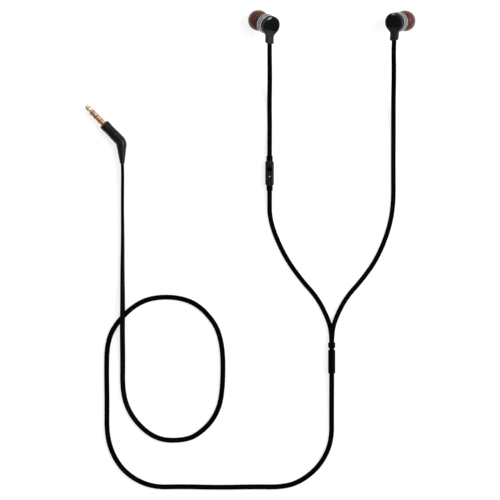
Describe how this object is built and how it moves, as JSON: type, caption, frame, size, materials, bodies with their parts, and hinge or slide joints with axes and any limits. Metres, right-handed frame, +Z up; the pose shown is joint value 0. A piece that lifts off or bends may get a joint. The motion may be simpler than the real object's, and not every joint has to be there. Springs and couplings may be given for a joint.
{
  "type": "wired earphones",
  "caption": "Wired in-ear earphones with soft ear tips, an in-line remote with a push button, a cord slider and an angled headset plug.",
  "frame": {"origin": "on the surface the earphones lie on, midway between the two earbuds", "axes": "+X from the left earbud to the right one, +Y away from the cords, +Z up"},
  "size_m": [0.1849, 0.268, 0.0207],
  "materials": {
    "cap_plastic": "fine matte",
    "face_gloss": "polished",
    "trim_metal": "turned satin",
    "mesh_metal": "woven mesh",
    "inner_plastic": "plain",
    "inner_steel": "plain",
    "coil_copper": "enamelled wire",
    "film": "thin clear film",
    "board": "solder mask",
    "tip_core": "soft silicone",
    "tip_dome": "smoky translucent silicone",
    "remote_plastic": "satin",
    "button_plastic": "satin",
    "soft_rubber": "smooth matte",
    "contact_gold": "polished plating",
    "red_plastic": "plain",
    "plug_rubber": "smooth matte",
    "cord_jacket": "smooth satin"
  },
  "bodies": {
    "earphones": {"left_cord_lower": "cord_jacket", "left_cord_stop": "coil_copper", "left_cord_upper": "cord_jacket", "left_diaphragm": "film", "left_driver_frame": "inner_plastic", "left_face_plate": "face_gloss", "left_front_housing": "cap_plastic", "left_magnet": "inner_steel", "left_nozzle_mesh": "mesh_metal", "left_pole_plate": "inner_steel", "left_rear_cap": "cap_plastic", "left_terminal_board": "board", "left_trim_ring": "trim_metal", "left_voice_coil": "coil_copper", "left_yoke": "inner_steel", "main_cord": "cord_jacket", "microphone": "inner_steel", "microphone_mesh": "mesh_metal", "plug_collar": "red_plastic", "plug_core": "inner_steel", "plug_housing": "plug_rubber", "plug_insulators": "red_plastic", "plug_ring_1": "contact_gold", "plug_ring_2": "contact_gold", "plug_sleeve": "contact_gold", "plug_tip": "contact_gold", "remote_board": "board", "remote_bottom_shell": "remote_plastic", "remote_lower_grommet": "soft_rubber", "remote_switch": "inner_steel", "remote_top_shell": "remote_plastic", "remote_upper_grommet": "soft_rubber", "right_cord": "cord_jacket", "right_cord_stop": "coil_copper", "right_diaphragm": "film", "right_driver_frame": "inner_plastic", "right_face_plate": "face_gloss", "right_front_housing": "cap_plastic", "right_magnet": "inner_steel", "right_nozzle_mesh": "mesh_metal", "right_pole_plate": "inner_steel", "right_rear_cap": "cap_plastic", "right_terminal_board": "board", "right_trim_ring": "trim_metal", "right_voice_coil": "coil_copper", "right_yoke": "inner_steel", "splitter_core": "inner_plastic", "splitter_sleeve": "soft_rubber"},
    "left_ear_tip": {"left_ear_tip_core": "tip_core", "left_ear_tip_dome": "tip_dome"},
    "right_ear_tip": {"right_ear_tip_core": "tip_core", "right_ear_tip_dome": "tip_dome"},
    "remote_button": {"remote_button": "button_plastic"},
    "cord_slider": {"cord_slider": "soft_rubber"}
  },
  "joints": [
    {"name": "left_ear_tip_pull", "type": "slide", "parent": "earphones", "child": "left_ear_tip", "axis": [-0.5218, 0.2705, -0.809], "range_m": [0, 0.0065]},
    {"name": "right_ear_tip_pull", "type": "slide", "parent": "earphones", "child": "right_ear_tip", "axis": [0.4864, 0.1159, -0.866], "range_m": [0, 0.0065]},
    {"name": "remote_button_press", "type": "slide", "parent": "earphones", "child": "remote_button", "axis": [0, 0, -1], "range_m": [0, 0.00025], "stiffness_N_per_m": 3000},
    {"name": "cord_slider_slide", "type": "slide", "parent": "earphones", "child": "cord_slider", "axis": [0, 1, 0], "range_m": [0, 0.004]}
  ]
}
